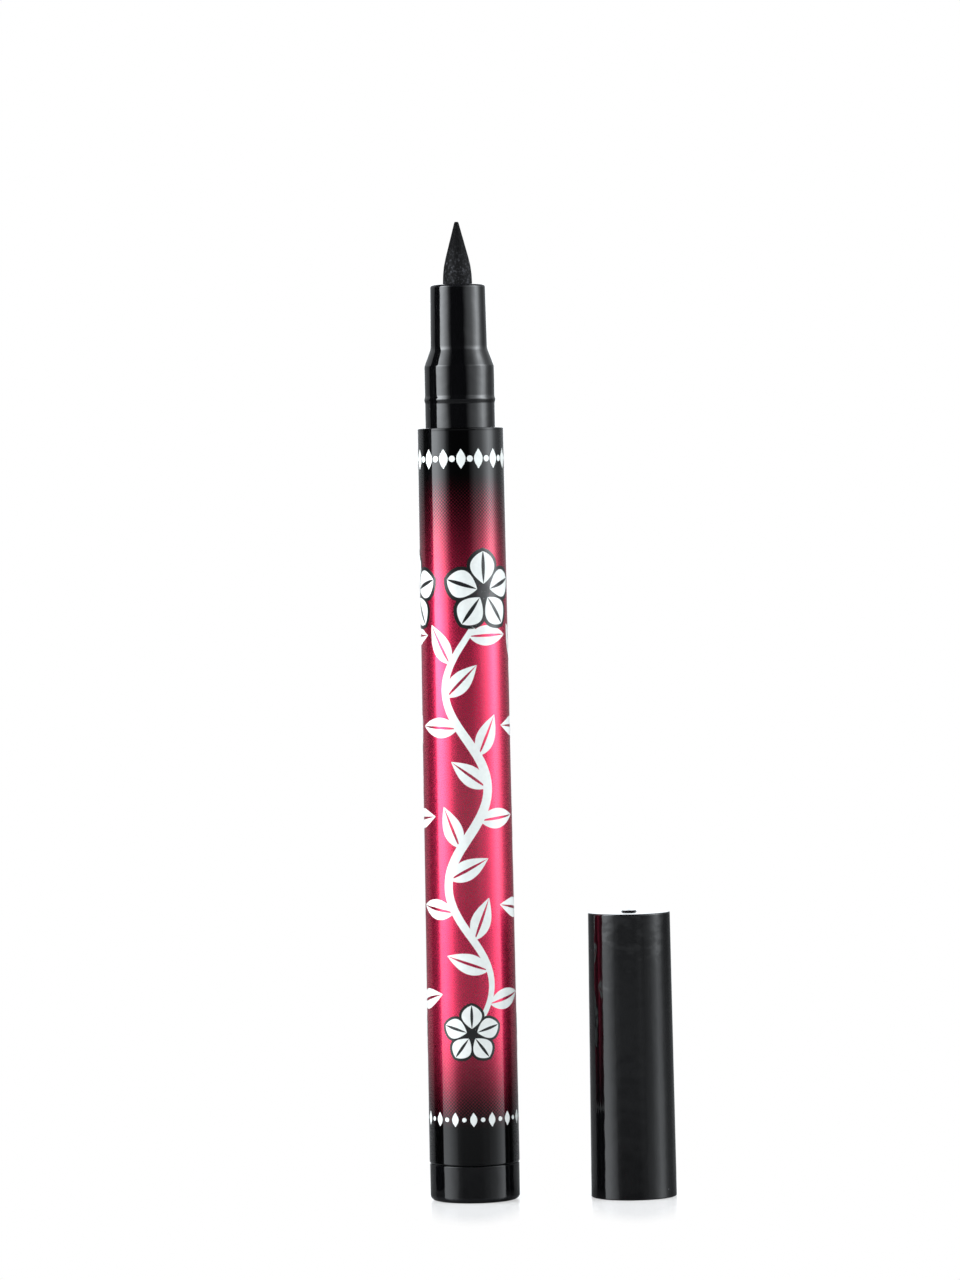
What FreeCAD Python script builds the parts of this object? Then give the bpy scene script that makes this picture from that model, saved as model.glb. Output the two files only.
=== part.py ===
import FreeCAD, Part
import math
import os
import Sketcher

# Liquid eyeliner pen with a fibre reservoir, standing on its tail with the nib up,
# and its cap standing on its mouth beside it. Millimetres, +Z up along the pen,
# origin on the pen's axis at the flat foot of the tail plug.

doc = FreeCAD.newDocument("eyeliner_pen")
sheet = doc.addObject("Spreadsheet::Sheet", "dims")

# Driving sizes. Walls and radial steps build outwards from the nib, so a change
# of one size carries through everything that fits round it.
sizes = {
    # nib and the bush that grips it
    "nib_dia": 3.45,
    "nib_reach": 7.4,
    "nib_straight": 0.3,
    "nib_blend": 2.9,
    "nib_tip_dia": 0.46,
    "nib_flat_count": 3,
    "holder_wall": 0.785,
    "holder_length": 10.0,
    "holder_recess": 0.35,
    "holder_foot": 0.8,
    "flute_width": 0.7,
    "flute_depth": 0.3,
    "flute_count": 6,
    # front section: nose, flare, neck with its snap bead, flange inside the barrel
    "nose_wall": 0.7,
    "nose_draft": 0.1,
    "nose_length": 7.5,
    "rim_edge": 0.28,
    "flare_step": 0.775,
    "flare_length": 2.1,
    "flare_round": 1.5,
    "neck_length": 7.3,
    "snap_height": 0.12,
    "snap_length": 0.8,
    "snap_from_barrel": 2.95,
    "flange_length": 4.0,
    "socket_length": 4.0,
    "socket_wall": 1.2,
    "vent_width": 0.9,
    "vent_depth": 0.3,
    "vent_count": 4,
    # barrel
    "barrel_length": 86.9,
    "barrel_wall": 0.725,
    "barrel_draft": 0.275,
    "barrel_edge": 0.12,
    "lip_step": 0.185,
    "lip_length": 3.0,
    "guide_rib_width": 0.6,
    "guide_rib_count": 6,
    "guide_rib_setback": 1.0,
    # tail plug
    "plug_height": 4.35,
    "plug_inset": 0.05,
    "plug_foot_edge": 0.45,
    "plug_seam_edge": 0.12,
    "plug_floor": 2.0,
    "spigot_length": 9.0,
    "spigot_wall": 1.1,
    "spigot_lead": 0.4,
    "ring_groove_depth": 0.4,
    "ring_groove_length": 1.2,
    "ring_groove_start": 1.9,
    "ring_pitch": 3.0,
    "ring_groove_count": 2,
    # wick, fibre core and the film round it
    "wick_dia": 1.6,
    "wick_gap": 0.15,
    "wick_in_nib": 3.0,
    "wick_in_core": 10.0,
    "wick_lead": 0.25,
    "air_gap": 0.4,
    "film_thickness": 0.1,
    "film_lap_width": 1.5,
    # cap and its liner
    "cap_length": 33.7,
    "cap_draft": 0.225,
    "cap_end_wall": 1.5,
    "cap_top_edge": 0.2,
    "cap_mouth_depth": 8.7,
    "cap_lead": 0.3,
    "cap_mouth_edge": 0.15,
    "pip_dia": 1.7,
    "pip_height": 0.3,
    "pip_draft": 0.15,
    "liner_wall": 0.6,
    "liner_recess": 0.3,
    "liner_lead": 0.35,
    "liner_lead_length": 0.45,
    "liner_rim_gap": 0.35,
    "liner_tip_room": 1.5,
    "liner_step": 0.33,
    "liner_rib_width": 0.6,
    "liner_rib_count": 6,
    "stem_dia": 4.4,
    "stem_wall": 0.8,
    "stem_wing_count": 4,
    "cap_stand_off": 18.8,
    # fits and cuts
    "press_clearance": 0.02,
    "slip_clearance": 0.04,
    "cap_clearance": 0.08,
    "seal_clearance": 0.03,
    "wrap_clearance": 0.02,
    "end_clearance": 0.1,
    "root": 0.2,
    "overrun": 1.0,
}

for row, (alias, size) in enumerate(sizes.items(), start=1):
    sheet.set(f"A{row}", alias)
    sheet.set(f"B{row}", str(size))
    sheet.setAlias(f"B{row}", alias)
doc.recompute()

# Radii of the pen, from the nib outwards.
nib_r = "dims.nib_dia / 2"
holder_bore_r = f"({nib_r} + dims.press_clearance)"
holder_r = f"({holder_bore_r} + dims.holder_wall)"
nose_bore_r = f"({holder_r} + dims.press_clearance)"
nose_rim_r = f"({nose_bore_r} + dims.nose_wall)"
nose_base_r = f"({nose_rim_r} + dims.nose_draft)"
neck_r = f"({nose_base_r} + dims.flare_step)"
snap_r = f"({neck_r} + dims.snap_height)"
lip_r = f"({neck_r} + dims.slip_clearance)"
bore_r = f"({lip_r} + dims.lip_step)"
spigot_r = f"({bore_r} - dims.press_clearance)"
barrel_front_r = f"({bore_r} + dims.barrel_wall)"
barrel_tail_r = f"({barrel_front_r} + dims.barrel_draft)"
plug_r = f"({barrel_tail_r} - dims.plug_inset)"

# Radii of what the pen holds.
wick_r = "dims.wick_dia / 2"
wick_hole_r = f"({wick_r} + dims.press_clearance)"
passage_r = f"({wick_r} + dims.wick_gap)"
socket_r = f"({passage_r} + dims.socket_wall)"
film_r = f"({bore_r} - dims.air_gap)"
film_bore_r = f"({film_r} - dims.film_thickness)"
core_r = f"({film_bore_r} - dims.wrap_clearance)"

# Heights up the pen.
barrel_tail = "dims.plug_height"
barrel_front = f"({barrel_tail} + dims.barrel_length)"
neck_top = f"({barrel_front} + dims.neck_length)"
nose_base = f"({neck_top} + dims.flare_length)"
nose_rim = f"({nose_base} + dims.nose_length)"
nib_tip = f"({nose_rim} + dims.nib_reach)"
snap_low = f"({barrel_front} + dims.snap_from_barrel)"
flange_top = f"({barrel_front} - dims.lip_length)"
flange_foot = f"({flange_top} - dims.flange_length)"
socket_foot = f"({flange_foot} - dims.socket_length)"
holder_top = f"({nose_rim} - dims.holder_recess)"
holder_seat = f"({holder_top} - dims.holder_length)"
nib_foot = f"({holder_seat} + dims.holder_foot)"
spigot_top = f"({barrel_tail} + dims.spigot_length)"
core_foot = f"({spigot_top} + dims.end_clearance)"
core_top = f"({socket_foot} - dims.end_clearance)"
wick_foot = f"({core_top} - dims.wick_in_core)"
wick_top = f"({nib_foot} + dims.wick_in_nib - dims.end_clearance)"

# The cap, measured from its mouth. Closed, its mouth meets the barrel's front face.
cap_mouth_r = barrel_front_r
cap_top_r = f"({cap_mouth_r} - dims.cap_draft)"
cap_bore_r = f"({neck_r} + dims.cap_clearance)"
cap_groove_r = f"({cap_bore_r} + dims.snap_height)"
seal_r = f"({nose_base_r} + dims.seal_clearance)"
liner_r = f"({seal_r} + dims.liner_wall)"
cap_upper_r = f"({liner_r} + dims.press_clearance)"
cap_end = "(dims.cap_length - dims.cap_end_wall)"
cap_groove_low = "(dims.snap_from_barrel - dims.cap_clearance)"
cap_groove_length = "(dims.snap_length + 2 * dims.cap_clearance)"
liner_foot = "(dims.cap_mouth_depth + dims.liner_recess)"
seal_end = "(dims.neck_length + dims.flare_length + dims.nose_length + dims.liner_rim_gap)"
chamber_r = f"({seal_r} - dims.liner_step)"
chamber_wall_r = f"({liner_r} - dims.liner_step)"
chamber_end = f"({seal_end} - dims.liner_rim_gap + dims.nib_reach + dims.liner_tip_room)"
liner_top = f"({chamber_end} + dims.liner_wall)"
stem_top = f"({cap_end} - dims.end_clearance)"


def value(expression):
    """Number that an expression on the sheet gives now."""
    return float(sheet.evalExpression(expression))


def new_body(label):
    """Empty body whose label names the piece."""
    body = doc.addObject("PartDesign::Body", label)
    body.Label = label
    return body


def new_sketch(body, name, plane, height=None):
    """Sketch on one of the body's origin planes, lifted along its normal by height."""
    sketch = body.newObject("Sketcher::SketchObject", name)
    support = [item for item in body.Origin.OriginFeatures if item.Role == plane][0]
    sketch.AttachmentSupport = (support, [""])
    sketch.MapMode = "FlatFace"
    if height is not None:
        sketch.setExpression("AttachmentOffset.Base.z", height)
    doc.recompute()
    return sketch


def bind(sketch, kind, places, expression):
    """Dimension whose size follows an expression on the sheet."""
    index = sketch.addConstraint(Sketcher.Constraint(kind, *places, value(expression)))
    sketch.setExpression(f"Constraints[{index}]", expression)


def pin_point(sketch, line, end, across, up):
    """Holds one end of a line at (across, up) from the sketch's origin."""
    if across == "0":
        sketch.addConstraint(Sketcher.Constraint("PointOnObject", line, end, -2))
    else:
        bind(sketch, "DistanceX", (-1, 1, line, end), across)
    if up == "0":
        sketch.addConstraint(Sketcher.Constraint("PointOnObject", line, end, -1))
    else:
        bind(sketch, "DistanceY", (-1, 1, line, end), up)


def close_outline(sketch, corners):
    """Closed outline of straight sides through (across, up) pairs of expressions."""
    points = [FreeCAD.Vector(value(across), value(up), 0) for across, up in corners]
    count = len(points)
    for index in range(count):
        sketch.addGeometry(Part.LineSegment(points[index], points[(index + 1) % count]), False)
    for index in range(count):
        sketch.addConstraint(Sketcher.Constraint("Coincident", index, 2, (index + 1) % count, 1))
    for index, (across, up) in enumerate(corners):
        pin_point(sketch, index, 1, across, up)
    doc.recompute()


def turn(body, corners):
    """Solid of revolution about the body's axis from (radius, height) corners."""
    sketch = new_sketch(body, f"{body.Label}_profile", "XZ_Plane")
    close_outline(sketch, corners)
    return revolve(body, sketch)


def revolve(body, sketch):
    """Full turn of a profile about the body's axis."""
    solid = body.newObject("PartDesign::Revolution", f"{body.Label}_turned")
    solid.Profile = sketch
    solid.ReferenceAxis = (sketch, ["V_Axis"])
    solid.Angle = 360
    sketch.Visibility = False
    doc.recompute()
    return solid


def bar_sketch(body, name, inner, outer, width, height):
    """Rectangle along +X from radius inner to radius outer, square to the axis."""
    sketch = new_sketch(body, name, "XY_Plane", height)
    half = value(width) / 2
    near = value(inner)
    far = value(outer)
    corners = [(near, -half), (far, -half), (far, half), (near, half)]
    points = [FreeCAD.Vector(across, up, 0) for across, up in corners]
    for index in range(4):
        sketch.addGeometry(Part.LineSegment(points[index], points[(index + 1) % 4]), False)
    for index in range(4):
        sketch.addConstraint(Sketcher.Constraint("Coincident", index, 2, (index + 1) % 4, 1))
    for kind, line in (("Horizontal", 0), ("Horizontal", 2), ("Vertical", 3)):
        sketch.addConstraint(Sketcher.Constraint(kind, line))
    sketch.addConstraint(Sketcher.Constraint("Symmetric", 1, 1, 1, 2, -1))
    bind(sketch, "DistanceY", (1, 1, 1, 2), width)
    bind(sketch, "DistanceX", (-1, 1, 1, 1), outer)
    if inner == "0":
        sketch.addConstraint(Sketcher.Constraint("PointOnObject", 0, 1, -2))
    else:
        bind(sketch, "DistanceX", (-1, 1, 0, 1), inner)
    doc.recompute()
    return sketch


def ring_of(body, feature, sketch, count):
    """Repeats a feature evenly round the axis."""
    pattern = body.newObject("PartDesign::PolarPattern", f"{feature.Name}_ring")
    pattern.Originals = [feature]
    pattern.Axis = (sketch, ["N_Axis"])
    pattern.Angle = 360
    pattern.setExpression("Occurrences", count)
    body.Tip = pattern
    doc.recompute()


def ribs(body, name, inner, outer, width, low, high, count):
    """Ribs along the axis, evenly spaced round it."""
    sketch = bar_sketch(body, f"{name}_sketch", inner, outer, width, low)
    pad = body.newObject("PartDesign::Pad", name)
    pad.Profile = sketch
    pad.setExpression("Length", f"{high} - {low}")
    sketch.Visibility = False
    doc.recompute()
    ring_of(body, pad, sketch, count)


def slots(body, name, inner, outer, width, low, high, count):
    """Slots along the axis, evenly spaced round it, cut downwards from high to low."""
    before = body.Shape.Volume
    sketch = bar_sketch(body, f"{name}_sketch", inner, outer, width, high)
    pocket = body.newObject("PartDesign::Pocket", name)
    pocket.Profile = sketch
    pocket.setExpression("Length", f"{high} - {low}")
    sketch.Visibility = False
    doc.recompute()
    ring_of(body, pocket, sketch, count)
    if body.Shape.Volume >= before:
        raise RuntimeError(f"{name} cut nothing")


def ring_edge(feature, radius, height):
    """Name of the circular edge round the axis at a radius and a height."""
    for index, edge in enumerate(feature.Shape.Edges, start=1):
        if not isinstance(edge.Curve, Part.Circle):
            continue
        same_height = math.isclose(edge.Curve.Center.z, value(height), rel_tol=1e-6, abs_tol=1e-6)
        if same_height and math.isclose(edge.Curve.Radius, value(radius), rel_tol=1e-6):
            return f"Edge{index}"
    raise RuntimeError(f"no edge at radius {radius} and height {height}")


def dress(body, kind, name, size, rings):
    """Fillet or chamfer on the circular edges at (radius, height) pairs."""
    base = body.Tip
    edges = [ring_edge(base, radius, height) for radius, height in rings]
    feature = body.newObject(f"PartDesign::{kind}", name)
    feature.Base = (base, edges)
    feature.setExpression("Radius" if kind == "Fillet" else "Size", size)
    doc.recompute()


def snap_corners(wall, crest, low, length):
    """Corners of a snap ring on a wall, going up: two slopes that meet at the crest's radius."""
    return [
        (wall, low),
        (crest, f"({low} + {length} / 2)"),
        (wall, f"({low} + {length})"),
    ]


def build_barrel():
    """Tapered tube. A lip at its front keeps the section from being pulled out with the cap."""
    body = new_body("barrel")
    turn(body, [
        (barrel_tail_r, barrel_tail),
        (barrel_front_r, barrel_front),
        (lip_r, barrel_front),
        (lip_r, flange_top),
        (bore_r, flange_top),
        (bore_r, barrel_tail),
    ])
    dress(body, "Chamfer", "barrel_bevels", "dims.barrel_edge", [
        (barrel_tail_r, barrel_tail),
        (barrel_front_r, barrel_front),
    ])
    # Guide ribs centre the reservoir and leave air passages beside it.
    ribs(
        body, "guide_rib",
        f"{film_r} + dims.slip_clearance", f"{bore_r} + dims.root", "dims.guide_rib_width",
        f"({spigot_top} + dims.guide_rib_setback)", f"({flange_foot} - dims.guide_rib_setback)",
        "dims.guide_rib_count",
    )
    return body


def build_tail_plug():
    """Foot that the pen stands on, with a hollow ringed spigot pressed into the barrel."""
    body = new_body("tail_plug")
    hollow_r = f"({spigot_r} - dims.spigot_wall)"
    turn(body, [
        ("0", "0"),
        (plug_r, "0"),
        (plug_r, barrel_tail),
        (spigot_r, barrel_tail),
        (spigot_r, spigot_top),
        (hollow_r, spigot_top),
        (hollow_r, "dims.plug_floor"),
        ("0", "dims.plug_floor"),
    ])
    dress(body, "Chamfer", "foot_bevel", "dims.plug_foot_edge", [(plug_r, "0")])
    dress(body, "Chamfer", "seam_bevel", "dims.plug_seam_edge", [(plug_r, barrel_tail)])
    dress(body, "Chamfer", "spigot_bevel", "dims.spigot_lead", [(spigot_r, spigot_top)])
    # Grooves leave sealing rings between them.
    before = body.Shape.Volume
    low = f"({barrel_tail} + dims.ring_groove_start)"
    high = f"({low} + dims.ring_groove_length)"
    deep = f"({spigot_r} - dims.ring_groove_depth)"
    clear = f"({spigot_r} + dims.overrun)"
    sketch = new_sketch(body, "ring_groove_sketch", "XZ_Plane")
    close_outline(sketch, [(deep, low), (clear, low), (clear, high), (deep, high)])
    groove = body.newObject("PartDesign::Groove", "ring_groove")
    groove.Profile = sketch
    groove.ReferenceAxis = (sketch, ["V_Axis"])
    groove.Angle = 360
    sketch.Visibility = False
    doc.recompute()
    pattern = body.newObject("PartDesign::LinearPattern", "ring_grooves")
    pattern.Originals = [groove]
    pattern.Direction = (sketch, ["V_Axis"])
    pattern.setExpression("Length", "dims.ring_pitch * (dims.ring_groove_count - 1)")
    pattern.setExpression("Occurrences", "dims.ring_groove_count")
    body.Tip = pattern
    doc.recompute()
    if body.Shape.Volume >= before:
        raise RuntimeError("the ring grooves cut nothing")
    return body


def build_front_section():
    """Nose, flare and neck in one moulding, held by a flange behind the barrel's lip."""
    body = new_body("front_section")
    turn(body, [
        (passage_r, socket_foot),
        (socket_r, socket_foot),
        (socket_r, flange_foot),
        (spigot_r, flange_foot),
        (spigot_r, flange_top),
        (neck_r, flange_top),
        *snap_corners(neck_r, snap_r, snap_low, "dims.snap_length"),
        (neck_r, neck_top),
        (nose_base_r, nose_base),
        (nose_rim_r, nose_rim),
        (nose_bore_r, nose_rim),
        (nose_bore_r, holder_seat),
        (passage_r, holder_seat),
    ])
    dress(body, "Chamfer", "rim_bevel", "dims.rim_edge", [(nose_rim_r, nose_rim)])
    dress(body, "Fillet", "flare_rounds", "dims.flare_round", [
        (neck_r, neck_top),
        (nose_base_r, nose_base),
    ])
    # Vents let air past the flange into the barrel.
    slots(
        body, "vent",
        f"{spigot_r} - dims.vent_depth", f"{spigot_r} + dims.overrun", "dims.vent_width",
        f"({flange_foot} - dims.overrun)", flange_top, "dims.vent_count",
    )
    return body


def build_nib_holder():
    """Bush in the nose. Flutes round it let air in as ink leaves."""
    body = new_body("nib_holder")
    turn(body, [
        (passage_r, holder_seat),
        (holder_r, holder_seat),
        (holder_r, holder_top),
        (holder_bore_r, holder_top),
        (holder_bore_r, nib_foot),
        (passage_r, nib_foot),
    ])
    slots(
        body, "flute",
        f"{holder_r} - dims.flute_depth", f"{holder_r} + dims.overrun", "dims.flute_width",
        f"({holder_seat} - dims.overrun)", f"({holder_top} + dims.overrun)", "dims.flute_count",
    )
    return body


def build_nib():
    """Fibre tip: a straight shank, flats ground along an arc and a plain taper to the blunt point."""
    body = new_body("nib")
    shoulder = f"({nose_rim} + dims.nib_straight)"
    hole_end = f"({nib_foot} + dims.wick_in_nib)"
    tip_r = "dims.nib_tip_dia / 2"
    # The arc leaves the shank smoothly and ends at the slope of the plain taper.
    run = "(dims.nib_reach - dims.nib_straight - dims.nib_blend / 2)"
    slope = f"atan(({nib_r} - {tip_r}) / {run})"
    arc_r = f"(dims.nib_blend / sin({slope}))"
    blend = []
    for step in range(sizes["nib_flat_count"] + 1):
        angle = f"{slope} * {step} / dims.nib_flat_count"
        across = f"({nib_r} - {arc_r} * (1 - cos({angle})))"
        blend.append((across, f"({shoulder} + {arc_r} * sin({angle}))"))
    turn(body, [
        (wick_hole_r, nib_foot),
        (nib_r, nib_foot),
        *blend,
        (tip_r, nib_tip),
        ("0", nib_tip),
        ("0", hole_end),
        (wick_hole_r, hole_end),
    ])
    return body


def build_relay_wick():
    """Fibre rod from the core to the nib, with eased ends."""
    body = new_body("relay_wick")
    turn(body, [
        ("0", wick_foot),
        (wick_r, wick_foot),
        (wick_r, wick_top),
        ("0", wick_top),
    ])
    dress(body, "Chamfer", "wick_ends", "dims.wick_lead", [(wick_r, wick_foot), (wick_r, wick_top)])
    return body


def build_reservoir_core():
    """Fibre rod that holds the ink, bored for the wick."""
    body = new_body("reservoir_core")
    hole_foot = f"({wick_foot} - dims.end_clearance)"
    turn(body, [
        ("0", core_foot),
        (core_r, core_foot),
        (core_r, core_top),
        (wick_hole_r, core_top),
        (wick_hole_r, hole_foot),
        ("0", hole_foot),
    ])
    return body


def build_reservoir_film():
    """Film wrapped round the core, with the lap where its edges are welded."""
    body = new_body("reservoir_film")
    turn(body, [
        (film_bore_r, core_foot),
        (film_r, core_foot),
        (film_r, core_top),
        (film_bore_r, core_top),
    ])
    half_film = "dims.film_thickness / 2"
    sketch = bar_sketch(
        body, "lap_sketch", f"{film_r} - {half_film}", f"{film_r} + {half_film}",
        "dims.film_lap_width", core_foot,
    )
    lap = body.newObject("PartDesign::Pad", "lap")
    lap.Profile = sketch
    lap.setExpression("Length", f"{core_top} - {core_foot}")
    sketch.Visibility = False
    doc.recompute()
    # The lap lies midway between two of the barrel's guide ribs.
    turned = FreeCAD.Rotation(FreeCAD.Vector(0, 0, 1), 0)
    body.Placement = FreeCAD.Placement(FreeCAD.Vector(0, 0, 0), turned)
    body.setExpression("Placement.Rotation.Angle", "180 / dims.guide_rib_count")
    doc.recompute()
    return body


def build_cap_shell():
    """Cap with a closed end, a groove inside for the neck's snap bead and a gate pip on top."""
    body = new_body("cap_shell")
    pip_r = "dims.pip_dia / 2"
    groove = snap_corners(cap_bore_r, cap_groove_r, cap_groove_low, cap_groove_length)
    turn(body, [
        (f"({cap_bore_r} + dims.cap_lead)", "0"),
        (cap_mouth_r, "0"),
        (cap_top_r, "dims.cap_length"),
        (pip_r, "dims.cap_length"),
        (f"({pip_r} - dims.pip_draft)", "dims.cap_length + dims.pip_height"),
        ("0", "dims.cap_length + dims.pip_height"),
        ("0", cap_end),
        (cap_upper_r, cap_end),
        (cap_upper_r, "dims.cap_mouth_depth"),
        (cap_bore_r, "dims.cap_mouth_depth"),
        *reversed(groove),
        (cap_bore_r, "dims.cap_lead"),
    ])
    dress(body, "Chamfer", "cap_top_bevel", "dims.cap_top_edge", [(cap_top_r, "dims.cap_length")])
    dress(body, "Chamfer", "cap_mouth_bevel", "dims.cap_mouth_edge", [(cap_mouth_r, "0")])
    stand_aside(body)
    return body


def build_inner_cap():
    """Liner pressed into the cap: it seals round the nose and leaves room for the nib."""
    body = new_body("inner_cap")
    turn(body, [
        (f"({seal_r} + dims.liner_lead)", liner_foot),
        (liner_r, liner_foot),
        (liner_r, seal_end),
        (chamber_wall_r, f"({seal_end} + dims.liner_step)"),
        (chamber_wall_r, liner_top),
        ("0", liner_top),
        ("0", chamber_end),
        (chamber_r, chamber_end),
        (chamber_r, seal_end),
        (seal_r, seal_end),
        (seal_r, f"({liner_foot} + dims.liner_lead_length)"),
    ])
    ribs(
        body, "liner_rib",
        f"{chamber_wall_r} - dims.root", liner_r, "dims.liner_rib_width",
        seal_end, liner_top, "dims.liner_rib_count",
    )
    # A crossed stem on top bears on the cap's closed end.
    ribs(
        body, "stem_wing",
        "0", "dims.stem_dia / 2", "dims.stem_wall",
        f"({liner_top} - dims.root)", stem_top, "dims.stem_wing_count",
    )
    stand_aside(body)
    return body


def stand_aside(body):
    """Puts a piece of the cap where the cap stands beside the pen."""
    body.setExpression("Placement.Base.x", "dims.cap_stand_off")
    doc.recompute()


pieces = [
    build_barrel(),
    build_tail_plug(),
    build_front_section(),
    build_nib_holder(),
    build_nib(),
    build_relay_wick(),
    build_reservoir_core(),
    build_reservoir_film(),
    build_cap_shell(),
    build_inner_cap(),
]

for item in doc.Objects:
    if "Invalid" in item.State or "Error" in item.State:
        raise RuntimeError(f"{item.Name} failed: {item.State}")
for piece in pieces:
    if piece.Shape.isNull() or not piece.Shape.isValid():
        raise RuntimeError(f"{piece.Label} has no valid shape")
    if len(piece.Shape.Solids) != 1:
        raise RuntimeError(f"{piece.Label} is {len(piece.Shape.Solids)} solids")

os.makedirs("parts", exist_ok=True)
for piece in pieces:
    piece.Shape.exportStep(f"parts/{piece.Label}.step")
    print(f"{piece.Label}: {piece.Shape.Volume:.1f} mm3")
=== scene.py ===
import math
import bmesh
import bpy
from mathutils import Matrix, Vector


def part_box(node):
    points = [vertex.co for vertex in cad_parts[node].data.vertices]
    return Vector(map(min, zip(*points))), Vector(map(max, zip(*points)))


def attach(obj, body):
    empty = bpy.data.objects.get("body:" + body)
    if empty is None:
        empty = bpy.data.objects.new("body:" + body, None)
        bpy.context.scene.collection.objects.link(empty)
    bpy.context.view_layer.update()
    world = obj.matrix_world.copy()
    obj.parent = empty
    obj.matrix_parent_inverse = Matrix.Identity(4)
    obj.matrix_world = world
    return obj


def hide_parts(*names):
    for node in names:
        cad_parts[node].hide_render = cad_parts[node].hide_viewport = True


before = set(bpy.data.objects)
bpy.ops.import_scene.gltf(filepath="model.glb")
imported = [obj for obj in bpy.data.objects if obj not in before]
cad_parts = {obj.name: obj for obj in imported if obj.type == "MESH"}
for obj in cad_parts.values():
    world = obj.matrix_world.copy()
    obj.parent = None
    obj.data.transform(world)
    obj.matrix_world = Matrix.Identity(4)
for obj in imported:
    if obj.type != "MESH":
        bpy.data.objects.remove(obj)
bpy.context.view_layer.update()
scene = bpy.context.scene
mm = 0.001
fullTurn = 2 * math.pi
barrelLow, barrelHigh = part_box("barrel")
plugLow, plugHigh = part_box("tail_plug")
sectionLow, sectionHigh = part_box("front_section")
nibLow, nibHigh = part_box("nib")
capLow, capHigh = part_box("cap_shell")
capAxis = (capLow.x + capHigh.x) / 2


def hexColour(text):  # sRGB hex to linear
    parts = [int(text[i:i + 2], 16) / 255 for i in (0, 2, 4)]
    linear = [p / 12.92 if p <= 0.04045 else ((p + 0.055) / 1.055) ** 2.4 for p in parts]
    return (*linear, 1.0)


# links go by name or in order (a map range: value, from low, from high, to low, to high),
# and a node given as a value stands for its first output
def feed(node, links):
    for key, value in links.items() if isinstance(links, dict) else enumerate(links):
        if isinstance(value, bpy.types.Node):
            value = value.outputs[0]
        if isinstance(value, bpy.types.NodeSocket):
            node.id_data.links.new(value, node.inputs[key])
        else:
            node.inputs[key].default_value = value


def nodeAdder(tree):  # gives the one function that adds a node to this tree
    def add(kind, links=(), operation=None, stops=(), **settings):
        node = tree.nodes.new(kind)
        if operation:
            node.operation = operation
        for key, value in settings.items():
            setattr(node, key, value)
        feed(node, links)
        for number, (place, value) in enumerate(stops):  # a ramp's stops, grey levels
            ramp = node.color_ramp.elements
            stop = ramp[number] if number < 2 else ramp.new(place)
            stop.position = place
            stop.color = (value, value, value, 1)
        return node
    return add


def startMaterial(name):
    material = bpy.data.materials.new(name)
    material.use_nodes = True
    material.node_tree.nodes.clear()
    add = nodeAdder(material.node_tree)
    shader = add("ShaderNodeBsdfPrincipled")
    add("ShaderNodeOutputMaterial", [shader])
    return material, add, shader, add("ShaderNodeTexCoord").outputs["Object"]


# studio: pale table, two soft boxes and white paper behind in one ring, a low white card in front,
# a dark flag at the left

studio = {
    "tableColour": "686868", "tableSeen": "FCFCFC", "tableRoughness": 0.16,
    "tableRadius": 3.0, "tableSides": 96, "tableDrop": 0.02,
    "tableKept": 0.45,  # part of the camera's view of the table that is plain white at the foot of a piece
    "keptNear": 4.6, "keptFar": 8.4, "keptReach": 3.4,
    "flagPlace": -19.2, "flagRadius": 5.2, "flagHeight": 420.0, "flagLift": 0.1, "flagSides": 48,
    "flagColour": "0A0A0A", "flagRoughness": 0.9, "flagSpecular": 0.1,
    "clothTint": (0.945, 0.99, 1.03, 1.0), "wallSteps": 180,
    "fill": 0.25, "ceilingLevel": 0.05, "ceilingSides": 64,
}

# walls of light: levels by azimuth, in degrees from the camera's side, positive to the right, and by height in mm
lightWalls = {
    "lightRing": {
        "radius": 500.0, "height": 640.0, "peak": 7.4,
        "round": [
            (-180, 2.4), (-168, 2.4), (-166, 0.4), (-140, 0.4), (-118, 0.35), (-108, 0.4), (-100, 4.4), (-91, 6.4),
            (-80, 7.2), (-68, 7.0), (-57, 4.8), (-47, 2.75), (-38, 0.6), (-30, 0.03), (20, 0.03), (28, 0.42),
            (37, 0.95), (47, 1.25), (57, 1.85), (68, 3.6), (80, 6.0), (90, 4.4), (100, 1.6), (110, 0.6),
            (123, 0.3), (150, 0.4), (166, 0.4), (168, 2.4), (180, 2.4)],
        "up": [
            (0, 0.42), (36, 0.5), (111, 1.0), (190, 1.4), (290, 1.9), (370, 1.5), (440, 0.8), (540, 0.5), (640, 0.4)],
    },
    "frontCard": {
        "radius": 480.0, "height": 60.0, "peak": 0.9,
        "round": [(-42, 0.9), (-36, 0.78), (-28, 0.56), (16, 0.56), (28, 0.75), (40, 0.55)],
        "up": [(0, 0.45), (12, 0.95), (28, 0.95), (42, 0.4), (60, 0.08)],
    },
    "frontFill": {  # lights the white ink, and no reflection shows it
        "radius": 900.0, "height": 700.0, "peak": 1.6, "unseen": ["glossy"],
        "round": [(-50, 0.0), (-35, 1.6), (35, 1.6), (50, 0.0)],
        "up": [(0, 0.0), (120, 1.0), (700, 1.0)],
    },
}


def stageObject(name, mesh, material, place=(0, 0, 0), unseen=()):
    data = bpy.data.meshes.new(name)
    mesh.to_mesh(data)
    mesh.free()
    data.materials.append(material)
    thing = bpy.data.objects.new(name, data)
    thing.location = place
    scene.collection.objects.link(thing)
    for rays in unseen:
        setattr(thing, "visible_" + rays, False)


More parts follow.
